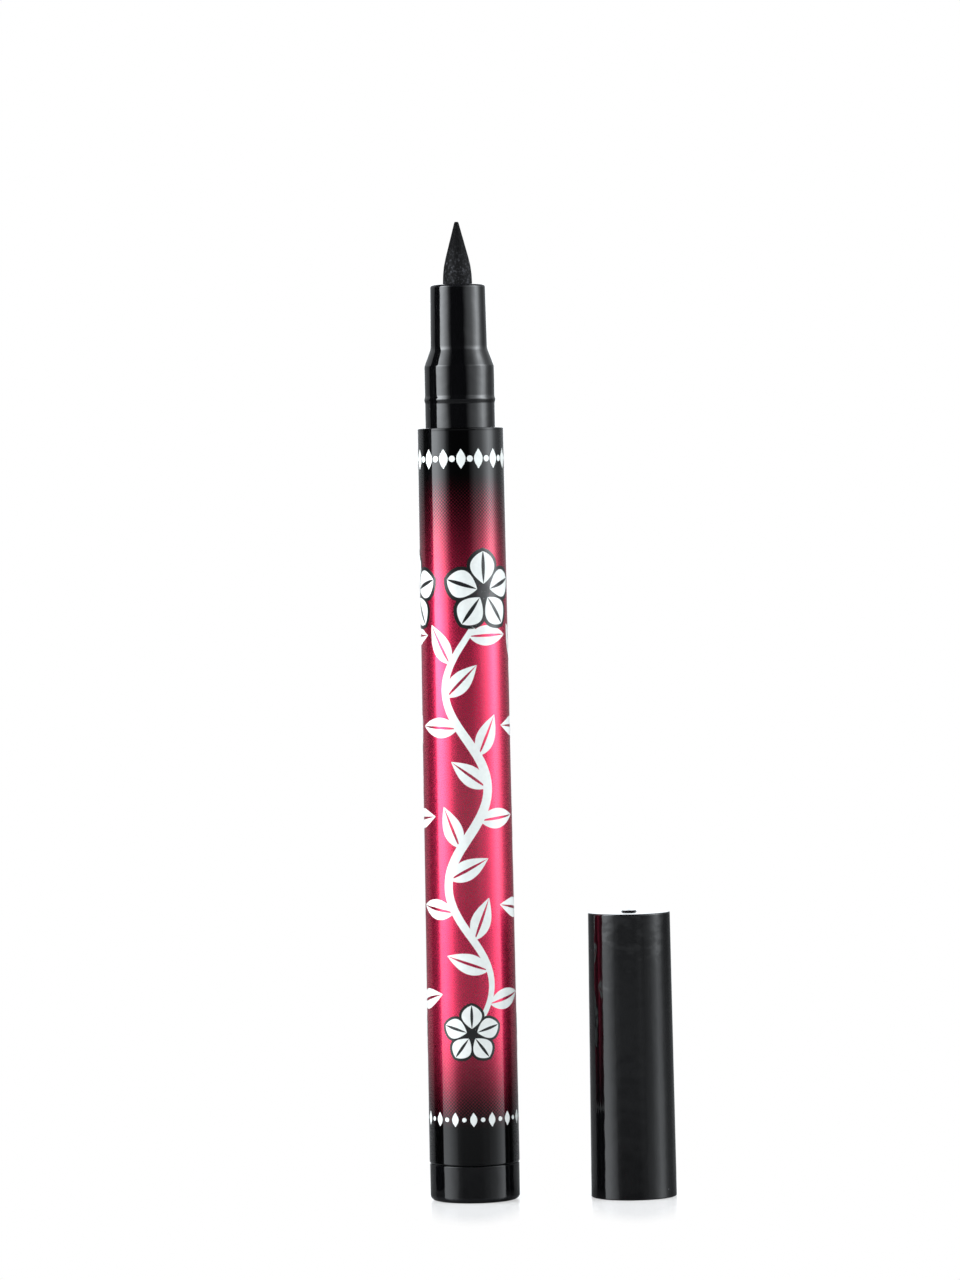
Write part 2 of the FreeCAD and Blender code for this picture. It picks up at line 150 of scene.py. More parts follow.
def buildTable():
    mesh = bmesh.new()
    bmesh.ops.create_circle(mesh, cap_ends=True, radius=studio["tableRadius"], segments=studio["tableSides"])
    # gloss white acrylic, the camera sees it nearly as plain white and keeps the contact shade
    material, add, shader, place = startMaterial("glossWhiteAcrylicTable")
    seen = add("ShaderNodeLightPath").outputs["Is Camera Ray"]
    tone = add("ShaderNodeMix", {
        0: seen, 6: hexColour(studio["tableColour"]), 7: hexColour(studio["tableSeen"])}, data_type="RGBA")
    feed(shader, {"Base Color": tone.outputs[2], "Roughness": studio["tableRoughness"]})
    white = add("ShaderNodeEmission", {"Color": (1, 1, 1, 1), "Strength": 1.0})
    reach = []
    for axis in (0.0, capAxis):  # distance from the pen's and the cap's foot, drawn out towards the front
        moved = add("ShaderNodeMapping", {
            "Vector": place, "Location": (-axis, 0, 0), "Scale": (1, 1 / studio["keptReach"], 1)})
        reach.append(add("ShaderNodeVectorMath", [moved], "LENGTH").outputs["Value"])
    away = add("ShaderNodeMath", reach, "MINIMUM")
    kept = add("ShaderNodeMapRange", [
        away, studio["keptNear"] * mm, studio["keptFar"] * mm,
        studio["tableKept"], 1.0], interpolation_type="SMOOTHSTEP")
    share = add("ShaderNodeMath", [seen, kept], "MULTIPLY")
    mixed = add("ShaderNodeMixShader", [share, shader, white])
    feed(material.node_tree.nodes["Material Output"], [mixed])
    stageObject("table", mesh, material, (0, 0, -studio["tableDrop"] * mm))


def buildLightWall(name, wall):
    mesh = bmesh.new()
    turns = studio["wallSteps"]
    radius, height, peak = wall["radius"] * mm, wall["height"] * mm, wall["peak"]
    first, last = wall["round"][0][0], wall["round"][-1][0]
    low, high = [], []
    for step in range(turns + 1):
        angle = math.radians(first + (last - first) * step / turns)
        across, along = radius * math.sin(angle), -radius * math.cos(angle)
        low.append(mesh.verts.new((across, along, 0)))
        high.append(mesh.verts.new((across, along, height)))
    for step in range(turns):
        mesh.faces.new((low[step], high[step], high[step + 1], low[step + 1]))
    material, add, shader, place = startMaterial(name + "Cloth")
    material.node_tree.nodes.remove(shader)
    parts = add("ShaderNodeSeparateXYZ", [place])
    front = add("ShaderNodeMath", [parts.outputs["Y"], -1.0], "MULTIPLY")
    azimuth = add("ShaderNodeMath", [parts.outputs["X"], front], "ARCTAN2")
    turn = add("ShaderNodeMapRange", [azimuth, math.radians(first), math.radians(last)])
    climb = add("ShaderNodeMapRange", {"Value": parts.outputs["Z"], "From Max": height})
    top = max(value for up, value in wall["up"])
    level = add("ShaderNodeValToRGB", [turn],
                stops=[((deg - first) / (last - first), value / peak) for deg, value in wall["round"]])
    rise = add("ShaderNodeValToRGB", [climb], stops=[(up / wall["height"], value / top) for up, value in wall["up"]])
    both = add("ShaderNodeMath", [level, rise], "MULTIPLY")
    power = add("ShaderNodeMath", [both, peak * top], "MULTIPLY")
    glow = add("ShaderNodeEmission", {"Color": studio["clothTint"], "Strength": power})
    feed(material.node_tree.nodes["Material Output"], [glow])
    stageObject(name, mesh, material, unseen=["camera", "shadow"] + wall.get("unseen", []))


# black rod that cuts the left soft box to a sharp edge, seen in reflections only
def buildFlag():
    mesh = bmesh.new()
    radius, height = studio["flagRadius"] * mm, studio["flagHeight"]
    bmesh.ops.create_cone(mesh, cap_ends=True, segments=studio["flagSides"], radius1=radius, radius2=radius,
                          depth=height * mm)
    material, add, shader, place = startMaterial("blackFlagCloth")
    feed(shader, {
        "Base Color": hexColour(studio["flagColour"]), "Roughness": studio["flagRoughness"],
        "Specular IOR Level": studio["flagSpecular"]})
    stand = Vector((studio["flagPlace"], 0, height / 2 + studio["flagLift"])) * mm
    stageObject("flag", mesh, material, stand, ["camera", "diffuse", "shadow"])


def buildCeiling():
    ring = lightWalls["lightRing"]
    mesh = bmesh.new()
    bmesh.ops.create_circle(mesh, cap_ends=True, radius=ring["radius"] * mm, segments=studio["ceilingSides"])
    material, add, shader, place = startMaterial("dimCeiling")
    feed(shader, {
        "Base Color": (0, 0, 0, 1), "Specular IOR Level": 0.0,
        "Emission Color": (1, 1, 1, 1), "Emission Strength": studio["ceilingLevel"]})
    stageObject("ceiling", mesh, material, (0, 0, ring["height"] * mm), ["camera", "diffuse", "shadow"])


def buildWorld():
    world = bpy.data.worlds.new("whiteRoom")
    scene.world = world
    world.use_nodes = True
    world.node_tree.nodes.clear()
    add = nodeAdder(world.node_tree)
    rays = add("ShaderNodeLightPath").outputs
    seen = add("ShaderNodeMath", [rays["Is Camera Ray"], rays["Is Glossy Ray"]], "MAXIMUM")
    shown = add("ShaderNodeMath", [seen, rays["Is Transmission Ray"]], "MAXIMUM")
    level = add("ShaderNodeMapRange", {"Value": shown, "To Min": studio["fill"], "To Max": 1.0})
    glow = add("ShaderNodeBackground", {"Color": (1, 1, 1, 1), "Strength": level})
    add("ShaderNodeOutputWorld", [glow])


cameraPlace = {"eye": (2.18, -706.0, 84.0), "pitch": -1.447, "roll": 1.12, "lens": 168.1, "near": 0.01, "far": 20}


def buildCamera():
    data = bpy.data.cameras.new("camera")
    data.lens = cameraPlace["lens"]
    data.clip_start, data.clip_end = cameraPlace["near"], cameraPlace["far"]
    camera = bpy.data.objects.new("camera", data)
    camera.location = Vector(cameraPlace["eye"]) * mm
    camera.rotation_euler = (math.radians(90 + cameraPlace["pitch"]), math.radians(cameraPlace["roll"]), 0)
    scene.collection.objects.link(camera)
    scene.camera = camera


scene.view_settings.view_transform = "Standard"
buildTable()
for wallName, wall in lightWalls.items():
    buildLightWall(wallName, wall)
buildFlag()
buildCeiling()
buildWorld()
buildCamera()
print("studio and camera ready")


# turned pieces: corners of an outline are (radius, height, rounding, rubbed) in millimetres

turning = {
    "turns": 160, "run": 6.0, "plainRound": 0.03, "hold": 0.05,
    "stepAngle": 11, "straightAngle": 179.8, "roundShare": 0.47, "holdShare": 0.45,
    "rubFrom": 0.1, "rubTo": 0.9, "notchReach": 0.02, "onAxis": 1e-6, "weld": 1e-8,
}


def roundOutline(corners, run=turning["run"]):
    hold, share = turning["hold"], turning["holdShare"]
    points = []
    count = len(corners)
    for number, corner in enumerate(corners):
        here = Vector(corner[:2])
        size = corner[2] if len(corner) > 2 else turning["plainRound"]
        back, on = Vector(corners[number - 1][:2]) - here, Vector(corners[(number + 1) % count][:2]) - here
        backRun, onRun = back.length, on.length
        if here.x < turning["onAxis"] or back.angle(on) > math.radians(turning["straightAngle"]):
            points.append((here, 0.0))
            continue
        back.normalize()
        on.normalize()
        half = back.angle(on) / 2
        reach = min(size / math.tan(half), turning["roundShare"] * min(backRun, onRun))
        size = reach * math.tan(half)
        middle = here + (back + on).normalized() * (size / math.sin(half))
        steps = max(3, math.ceil((math.pi - 2 * half) / math.radians(turning["stepAngle"])))
        rub = corner[3] if len(corner) > 3 else float(turning["rubFrom"] <= size <= turning["rubTo"])
        if reach + hold < share * backRun:
            points.append((here + back * (reach + hold), 0.0))
        start, end = here + back * reach - middle, here + on * reach - middle
        sweep = start.angle_signed(end)
        for step in range(steps + 1):
            angle = -sweep * step / steps
            turned = Vector((start.x * math.cos(angle) - start.y * math.sin(angle),
                             start.x * math.sin(angle) + start.y * math.cos(angle)))
            points.append((middle + turned, rub))
        if reach + hold < share * onRun:
            points.append((here + on * (reach + hold), 0.0))
    full = []
    for number, (point, rub) in enumerate(points):
        full.append((point, rub))
        after = points[(number + 1) % len(points)][0]
        if point.x < turning["onAxis"] and after.x < turning["onAxis"]:
            continue
        parts = math.ceil((after - point).length / run)
        full += [(point.lerp(after, part / parts), 0.0) for part in range(1, parts)]
    return full


def latheMesh(name, outline, axisX=0.0, turns=turning["turns"], notches=()):
    mesh = bmesh.new()
    worn = mesh.verts.layers.float.new("rub")
    rings = []
    for point, rub in outline:
        ring = []
        for step in range(1 if point.x < turning["onAxis"] else turns):
            angle = fullTurn * step / turns
            radius = point.x
            for notch in notches:  # ribs and slots along the axis
                part = fullTurn / notch["count"]
                offset = abs((angle + part / 2) % part - part / 2) * radius
                beside = abs(radius - notch["from"]) < turning["notchReach"]
                if offset <= notch["width"] / 2 and notch["low"] < point.y < notch["high"] and beside:
                    radius = notch["to"]
            across, along = (axisX + radius * math.cos(angle)) * mm, radius * math.sin(angle) * mm
            vert = mesh.verts.new((across, along, point.y * mm))
            vert[worn] = rub
            ring.append(vert)
        rings.append(ring)
    for number, ring in enumerate(rings):
        after = rings[(number + 1) % len(rings)]
        if len(ring) == 1 and len(after) == 1:
            continue
        for step in range(turns):
            on = (step + 1) % turns
            corners = [ring[step % len(ring)], after[step % len(after)], after[on % len(after)], ring[on % len(ring)]]
            mesh.faces.new(list(dict.fromkeys(corners)))
    bmesh.ops.remove_doubles(mesh, verts=mesh.verts, dist=turning["weld"])
    bmesh.ops.recalc_face_normals(mesh, faces=mesh.faces)
    for face in mesh.faces:
        face.smooth = True
    data = bpy.data.meshes.new(name)
    mesh.to_mesh(data)
    mesh.free()
    return data


def placePiece(name, data, material, body, node=None):
    piece = bpy.data.objects.new(name, data)
    scene.collection.objects.link(piece)
    data.materials.clear()
    data.materials.append(material)
    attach(piece, body)
    if node:
        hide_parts(node)
    return piece


# moulded black ABS: deep gloss with a faint flow ripple, dull rubbed edges, fine scuffs and a little dust

absLook = {
    "colour": "050506", "rubColour": "141416", "dustColour": "5A5A5E",
    "roughness": 0.045, "roughnessSpread": 0.05, "rubRoughness": 0.16, "ior": 1.5,
    "rippleSize": 2.2, "rippleDepth": 0.04, "cloudSize": 9.0, "cloudFrom": 0.35, "cloudTo": 0.7,
    "scuffWidth": 0.16, "scuffLength": 4.0, "scuffLean": (0.15, 0.1, 0.0),
    "scuffFrom": 0.62, "scuffTo": 0.74, "scuffRoughness": 0.1,
    "dustSpacing": 3.4, "dustSize": 0.07, "dustFrom": 0.55,  # drawn coarser than real dust, which is too fine to show
}


def buildBlackAbs():
    look = absLook
    material, add, shader, place = startMaterial("mouldedBlackAbs")
    ripple = add("ShaderNodeTexNoise", {"Vector": place, "Scale": 1 / (look["rippleSize"] * mm), "Detail": 1.5})
    cloud = add("ShaderNodeTexNoise", {"Vector": place, "Scale": 1 / (look["cloudSize"] * mm), "Detail": 3.0})
    thin = 1 / (look["scuffWidth"] * mm)
    stretch = add("ShaderNodeMapping", {
        "Vector": place, "Rotation": look["scuffLean"], "Scale": (thin, thin, 1 / (look["scuffLength"] * mm))})
    scratch = add("ShaderNodeTexNoise", {"Vector": stretch, "Scale": 1.0, "Detail": 1.0})
    scuff = add("ShaderNodeMapRange", [scratch, look["scuffFrom"], look["scuffTo"]])
    specks = add("ShaderNodeTexVoronoi", {"Vector": place, "Scale": 1 / (look["dustSpacing"] * mm)})
    near = add("ShaderNodeMath", [specks.outputs["Distance"], look["dustSize"] / look["dustSpacing"]], "LESS_THAN")
    pick = add("ShaderNodeSeparateColor", [specks.outputs["Color"]])
    some = add("ShaderNodeMath", [pick, look["dustFrom"]], "GREATER_THAN")
    dust = add("ShaderNodeMath", [near, some], "MULTIPLY")
    rub = add("ShaderNodeAttribute", attribute_name="rub")
    worn = add("ShaderNodeMath", [rub.outputs["Fac"], cloud], "MULTIPLY")
    edge = add("ShaderNodeMix", {
        0: worn, 6: hexColour(look["colour"]), 7: hexColour(look["rubColour"])}, data_type="RGBA")
    skin = add("ShaderNodeMix", {0: dust, 6: edge.outputs[2], 7: hexColour(look["dustColour"])}, data_type="RGBA")
    base = add("ShaderNodeMapRange", [
        cloud, look["cloudFrom"], look["cloudTo"], look["roughness"], look["roughness"] + look["roughnessSpread"]])
    dull = add("ShaderNodeMath", [scuff, look["scuffRoughness"], base], "MULTIPLY_ADD")
    rough = add("ShaderNodeMath", [worn, look["rubRoughness"], dull], "MULTIPLY_ADD")
    bump = add("ShaderNodeBump", {"Height": ripple, "Distance": look["rippleDepth"] * mm, "Strength": 1.0})
    feed(shader, {"Base Color": skin.outputs[2], "Roughness": rough, "Normal": bump, "IOR": look["ior"]})
    return material


blackAbs = buildBlackAbs()

# barrel: tapered tube with a lip at the front and guide ribs inside

barrelShape = {
    "tail": barrelLow.z / mm, "front": barrelHigh.z / mm,
    "tailRadius": min(barrelHigh.x, barrelHigh.y, -barrelLow.x, -barrelLow.y) / mm,
    "draft": 0.275, "edge": 0.12, "tailEdge": 0.3, "flare": 0.02, "flareRun": 0.35, "flareRound": 2.0,
    "bore": 4.35, "boreEdge": 0.05, "lipBore": 4.165, "lipRun": 3.0, "lipEdge": 0.06,
    "ribWidth": 0.6, "ribTo": 3.99, "ribFoot": 14.35, "ribTop": 83.25, "ribStep": 0.02, "ribCount": 6,
    "turns": 180,
}

# printed barrel: clear varnish over a metallic pink that fades to black ink at both ends

printLook = {
    "pink": "EE3762", "ink": "070708",
    "metallic": 0.92, "roughness": 0.28, "roughnessSpread": 0.03, "coat": 0.85, "coatRoughness": 0.04,
    "topBlack": 86.2, "topPink": 64.0, "footPink": 24.0, "footBlack": 8.5,
    "dotPitch": 0.42, "dotShare": 0.15,  # print dots, drawn coarser than the real screen so that they show
    "dotRadius": 5.2, "screenEdge": 0.06,
    "waveSize": 7.0, "waveDepth": 0.004,
    "flakeSize": 0.12, "flakeFrom": 0.3, "flakeTo": 0.7, "flakeDark": 0.95, "flakeLight": 1.03,
}


def buildMetallicPrint():
    look = printLook
    material, add, shader, place = startMaterial("varnishedMetallicPrint")
    parts = add("ShaderNodeSeparateXYZ", [place])
    fades = [add("ShaderNodeMapRange", [
        parts.outputs["Z"], look[black] * mm, look[pink] * mm],
        interpolation_type="SMOOTHSTEP") for black, pink in (("topBlack", "topPink"), ("footBlack", "footPink"))]
    fade = add("ShaderNodeMath", fades, "MULTIPLY")
    # print dots on a net turned 45 degrees round the barrel
    around = add("ShaderNodeMath", [parts.outputs["Y"], parts.outputs["X"]], "ARCTAN2")
    dotsRound = float(round(fullTurn * look["dotRadius"] / look["dotPitch"]))
    across = add("ShaderNodeMath", [around, dotsRound], "MULTIPLY")
    upward = add("ShaderNodeMath", [parts.outputs["Z"], fullTurn / (look["dotPitch"] * mm)], "MULTIPLY")
    waves = [add("ShaderNodeMath", [way], "COSINE") for way in (across, upward)]
    net = add("ShaderNodeMath", waves, "MULTIPLY")
    dots = add("ShaderNodeMath", [net, look["dotShare"], fade], "MULTIPLY_ADD")
    ends = add("ShaderNodeMapRange", [fade, 0.0, look["screenEdge"]])
    inner = add("ShaderNodeMapRange", [fade, 1.0, 1 - look["screenEdge"]])
    screen = add("ShaderNodeMath", [ends, inner], "MULTIPLY")
    cover = add("ShaderNodeMix", {0: screen, 2: fade, 3: dots})
    flakes = add("ShaderNodeTexNoise", {"Vector": place, "Scale": 1 / (look["flakeSize"] * mm), "Detail": 2.0})
    grain = add("ShaderNodeMapRange", [
        flakes, look["flakeFrom"], look["flakeTo"], look["flakeDark"], look["flakeLight"]])
    pink = add("ShaderNodeVectorMath", {0: hexColour(look["pink"])[:3], "Scale": grain}, "SCALE")
    colour = add("ShaderNodeMix", {0: cover, 6: hexColour(look["ink"]), 7: pink}, data_type="RGBA")
    rough = add("ShaderNodeMapRange", [
        flakes, look["flakeFrom"], look["flakeTo"],
        look["roughness"] - look["roughnessSpread"], look["roughness"] + look["roughnessSpread"]])
    wave = add("ShaderNodeTexNoise", {"Vector": place, "Scale": 1 / (look["waveSize"] * mm), "Detail": 2.0})
    bump = add("ShaderNodeBump", {"Height": wave, "Distance": look["waveDepth"] * mm, "Strength": 1.0})
    feed(shader, {
        "Base Color": colour.outputs[2], "Metallic": look["metallic"], "Roughness": rough,
        "Normal": bump, "Coat Normal": bump,
        "Specular IOR Level": 0.0,  # the varnish alone gives the gloss
        "Coat Weight": look["coat"], "Coat Roughness": look["coatRoughness"]})
    return material


def buildBarrel():
    shape = barrelShape
    tail, front, bore = shape["tail"], shape["front"], shape["bore"]
    tailR, frontR = shape["tailRadius"], shape["tailRadius"] - shape["draft"]
    step = shape["ribStep"]
    outline = roundOutline([
        (bore, tail, shape["boreEdge"]),
        (tailR, tail, shape["tailEdge"]),
        (frontR, front - shape["flareRun"], shape["flareRound"]),
        (frontR + shape["flare"], front, shape["edge"]),
        (shape["lipBore"], front, shape["lipEdge"]),
        (shape["lipBore"], front - shape["lipRun"]), (bore, front - shape["lipRun"]),
        (bore, shape["ribTop"] + step), (bore, shape["ribTop"] - step),
        (bore, shape["ribFoot"] + step), (bore, shape["ribFoot"] - step),
    ])
    ribs = {"count": shape["ribCount"], "width": shape["ribWidth"], "low": shape["ribFoot"], "high": shape["ribTop"],
            "from": bore, "to": shape["ribTo"]}
    data = latheMesh("printed_barrel", outline, turns=shape["turns"], notches=[ribs])
    return placePiece("printed_barrel", data, buildMetallicPrint(), "pen", "barrel")


barrel = buildBarrel()
print("barrel: %d faces" % len(barrel.data.polygons))

# tail plug: foot that the pen stands on, with a ringed spigot up into the barrel

plugShape = {
    "radius": min(plugHigh.x, plugHigh.y) / mm, "seam": barrelShape["tail"], "top": plugHigh.z / mm,
    "footRound": 0.62, "seamRound": 0.06,
    "spigot": 4.33, "lead": 0.4, "hollow": 3.23, "floor": 2.0, "floorRound": 0.3,
    "grooveDepth": 0.4, "grooves": [6.25, 9.25], "grooveRun": 1.2,
}


def buildTailPlug():
    shape = plugShape
    spigot, top = shape["spigot"], shape["top"]
    deep = spigot - shape["grooveDepth"]
    corners = [(0, 0), (shape["radius"], 0, shape["footRound"]), (shape["radius"], shape["seam"], shape["seamRound"]),
               (spigot, shape["seam"])]
    for low in shape["grooves"]:
        high = low + shape["grooveRun"]
        corners += [(spigot, low), (deep, low), (deep, high), (spigot, high)]
    corners += [(spigot, top - shape["lead"]), (spigot - shape["lead"], top), (shape["hollow"], top),
                (shape["hollow"], shape["floor"], shape["floorRound"]), (0, shape["floor"])]
    data = latheMesh("tail_plug_moulding", roundOutline(corners))
    return placePiece("tail_plug_moulding", data, blackAbs, "pen", "tail_plug")


buildTailPlug()

# front section: nose, flare and neck with its snap bead, flange and socket inside the barrel

sectionShape = {
    "socketFoot": sectionLow.z / mm, "rim": sectionHigh.z / mm,
    "passage": 0.95, "socket": 2.15, "socketEdge": 0.1,
    "flangeFoot": 84.25, "flangeTop": 88.25, "flange": 4.33, "flangeEdge": 0.05,
    "neck": 4.125, "snapLow": 94.2, "snapRun": 0.8, "snapHeight": 0.12, "snapFoot": 0.8, "snapRound": 0.55,
    "neckTop": 98.55, "noseFoot": 100.65, "noseFootRadius": 3.35, "noseRimRadius": 3.25,
    "creaseRound": 1.6, "flareRound": 0.4, "rimRound": 0.46,
    "bore": 2.55, "boreEdge": 0.12, "seat": 97.8,
    "ventCount": 4, "ventWidth": 0.9, "ventDepth": 0.3, "ventOver": 0.1, "run": 3.0,
}


def buildFrontSection():
    shape = sectionShape
    neck, low, half = shape["neck"], shape["snapLow"], shape["snapRun"] / 2
    outline = roundOutline([
        (shape["passage"], shape["socketFoot"]), (shape["socket"], shape["socketFoot"], shape["socketEdge"]),
        (shape["socket"], shape["flangeFoot"]), (shape["flange"], shape["flangeFoot"], shape["flangeEdge"]),
        (shape["flange"], shape["flangeTop"], shape["flangeEdge"]), (neck, shape["flangeTop"]),
        (neck, low, shape["snapFoot"], 0), (neck + shape["snapHeight"], low + half, shape["snapRound"], 0),
        (neck, low + 2 * half, shape["snapFoot"], 0), (neck, shape["neckTop"], shape["flareRound"], 0),
        (shape["noseFootRadius"], shape["noseFoot"], shape["creaseRound"], 0),
        (shape["noseRimRadius"], shape["rim"], shape["rimRound"]),
        (shape["bore"], shape["rim"], shape["boreEdge"]), (shape["bore"], shape["seat"]),
        (shape["passage"], shape["seat"]),
    ], run=shape["run"])
    vents = {"count": shape["ventCount"], "width": shape["ventWidth"],
             "low": shape["flangeFoot"] - shape["ventOver"], "high": shape["flangeTop"] + shape["ventOver"],
             "from": shape["flange"], "to": shape["flange"] - shape["ventDepth"]}
    data = latheMesh("front_section_moulding", outline, notches=[vents])
    return placePiece("front_section_moulding", data, blackAbs, "pen", "front_section")


buildFrontSection()

# cap: drafted shell with a gate pip on its closed end and a groove inside the mouth

capShape = {
    "axis": capAxis / mm, "mouthRadius": min(capHigh.y, -capLow.y, (capHigh.x - capLow.x) / 2) / mm, "draft": 0.225,
    "top": capHigh.z / mm - 0.3, "topRound": 0.16, "mouthRound": 0.16, "mouthEdge": 0.06,
    "pipTop": capHigh.z / mm - 0.12, "pipRadius": 0.95, "pipDraft": 0.15, "pipFoot": 0.1, "pipEdge": 0.08,
    "gate": 0.28, "gateFoot": 0.2, "gateDepth": 0.1, "gateEdge": 0.05,
    "bore": 4.205, "lead": 0.3, "groove": 4.325, "grooveLow": 2.87, "grooveRun": 0.96, "grooveRound": 0.3,
    "mouthDepth": 8.7, "upperBore": 4.0, "end": 32.2, "endRound": 0.2,
}


def buildCap():
    shape = capShape
    low, half = shape["grooveLow"], shape["grooveRun"] / 2
    bore, top, pip = shape["bore"], shape["top"], shape["pipTop"]
    gate = pip - shape["gateDepth"]
    outline = roundOutline([
        (bore + shape["lead"], 0, shape["mouthEdge"]), (shape["mouthRadius"], 0, shape["mouthRound"]),
        (shape["mouthRadius"] - shape["draft"], top, shape["topRound"]),
        (shape["pipRadius"], top, shape["pipFoot"]), (shape["pipRadius"] - shape["pipDraft"], pip, shape["pipEdge"]),
        (shape["gate"], pip, shape["gateEdge"]), (shape["gateFoot"], gate, shape["gateEdge"]), (0, gate),
        (0, shape["end"]), (shape["upperBore"], shape["end"], shape["endRound"]),
        (shape["upperBore"], shape["mouthDepth"]), (bore, shape["mouthDepth"]),
        (bore, low + 2 * half), (shape["groove"], low + half, shape["grooveRound"], 0), (bore, low),
        (bore, shape["lead"]),
    ])
    data = latheMesh("cap_moulding", outline, axisX=shape["axis"])
    return placePiece("cap_moulding", data, blackAbs, "cap", "cap_shell")


buildCap()
print("black mouldings done")

# nib: felted polyester fibre soaked with ink, matt with fine lengthwise fibres, darkest and without flecks towards
# its point

nibShape = {
    "foot": nibLow.z / mm, "tip": nibHigh.z / mm, "rim": sectionShape["rim"],
    "radius": 1.725, "footEdge": 0.1, "hole": 0.82, "holeRun": 3.0,
    "straight": 1.78, "blendRound": 11.0, "tipRadius": 0.23, "tipRound": 0.19, "run": 0.35, "turns": 120,
    "strandCount": 30, "strandDepth": 0.018, "strandSwing": 1.3, "strandWave": 2.1, "strandTwist": 3,
    "strandFrom": 0.2, "strandRun": 0.5, "strandTip": 0.1,
}
nibLook = {
    # a near-black colour and a slightly higher roughness take over along the taper, from just above the rim to near
    # the point
    "feltBase": "0B0B0C", "tipDark": "040405", "fleck": "444448", "ior": 1.4,
    "roughness": 0.7, "tipRoughness": 0.75, "tipDarkAboveRim": 1.0, "tipDarkBelowTip": 1.5,
    "specular": 0.22,  # loose fibre ends scatter most of the gloss
    "fibreWidth": 0.09, "fibreLength": 1.6, "fibreDepth": 0.02,
    "fibreFrom": 0.35, "fibreTo": 0.65, "fibreDark": 0.6, "fibreLight": 1.2,
    "fleckSize": 0.33, "fleckFrom": 0.5, "fleckTo": 0.72,
}


def buildNibFelt():
    look = nibLook
    material, add, shader, place = startMaterial("feltedPolyesterNib")
    parts = add("ShaderNodeSeparateXYZ", [place])
    # mask that darkens the felt, drops its flecks and roughens it a little towards the point
    tipDark = add("ShaderNodeMapRange", [
        parts.outputs["Z"], (nibShape["rim"] + look["tipDarkAboveRim"]) * mm,
        (nibShape["tip"] - look["tipDarkBelowTip"]) * mm], interpolation_type="SMOOTHSTEP")
    thin = 1 / (look["fibreWidth"] * mm)
    stretch = add("ShaderNodeMapping", {"Vector": place, "Scale": (thin, thin, 1 / (look["fibreLength"] * mm))})
    fibre = add("ShaderNodeTexNoise", {"Vector": stretch, "Scale": 1.0, "Detail": 3.0})
    fleck = add("ShaderNodeTexNoise", {"Vector": place, "Scale": 1 / (look["fleckSize"] * mm), "Detail": 4.0})
    light = add("ShaderNodeMapRange", [fleck, look["fleckFrom"], look["fleckTo"]])
    streak = add("ShaderNodeMapRange", [
        fibre, look["fibreFrom"], look["fibreTo"], look["fibreDark"], look["fibreLight"]])
    feltBase = add("ShaderNodeMix", {0: light, 6: hexColour(look["feltBase"]), 7: hexColour(look["fleck"])}, data_type="RGBA")
    feltStreaked = add("ShaderNodeVectorMath", {0: feltBase.outputs[2], "Scale": streak}, "SCALE")
    colour = add("ShaderNodeMix", {0: tipDark, 6: feltStreaked, 7: hexColour(look["tipDark"])}, data_type="RGBA")
    rough = add("ShaderNodeMapRange", {"Value": tipDark, "To Min": look["roughness"], "To Max": look["tipRoughness"]})
    bump = add("ShaderNodeBump", {"Height": fibre, "Distance": look["fibreDepth"] * mm, "Strength": 1.0})
    feed(shader, {
        "Base Color": colour.outputs[2], "Roughness": rough, "Normal": bump,
        "IOR": look["ior"], "Specular IOR Level": look["specular"]})
    return material


def buildNib():
    shape = nibShape
    foot, top = shape["foot"], shape["foot"] + shape["holeRun"]
    outline = roundOutline([
        (shape["hole"], foot), (shape["radius"], foot, shape["footEdge"]),
        (shape["radius"], shape["rim"] + shape["straight"], shape["blendRound"]),
        (shape["tipRadius"], shape["tip"], shape["tipRound"]), (0, shape["tip"]),
        (0, top), (shape["hole"], top),
    ], run=shape["run"])
    data = latheMesh("fibre_nib", outline, turns=shape["turns"])
    for vert in data.vertices:  # strands of the felt stand out a little along the taper
        radius = math.hypot(vert.co.x, vert.co.y)
        height = vert.co.z / mm - shape["rim"]
        if height > shape["strandFrom"] and radius > shape["strandTip"] * mm:
            angle = math.atan2(vert.co.y, vert.co.x)
            swing = shape["strandSwing"] * math.sin(shape["strandWave"] * height + shape["strandTwist"] * angle)
            strand = 0.5 + 0.5 * math.cos(shape["strandCount"] * angle + swing)
            rise = min(1.0, (height - shape["strandFrom"]) / shape["strandRun"])
            deep = shape["strandDepth"] * mm * strand * min(1.0, radius / mm) * rise
            vert.co.x *= 1 - deep / radius
            vert.co.y *= 1 - deep / radius
    return placePiece("fibre_nib", data, buildNibFelt(), "pen", "nib")


buildNib()
print("nib done")


# printed sprigs: white ink leaves and blossoms over black ink outlines, wrapped round the taper

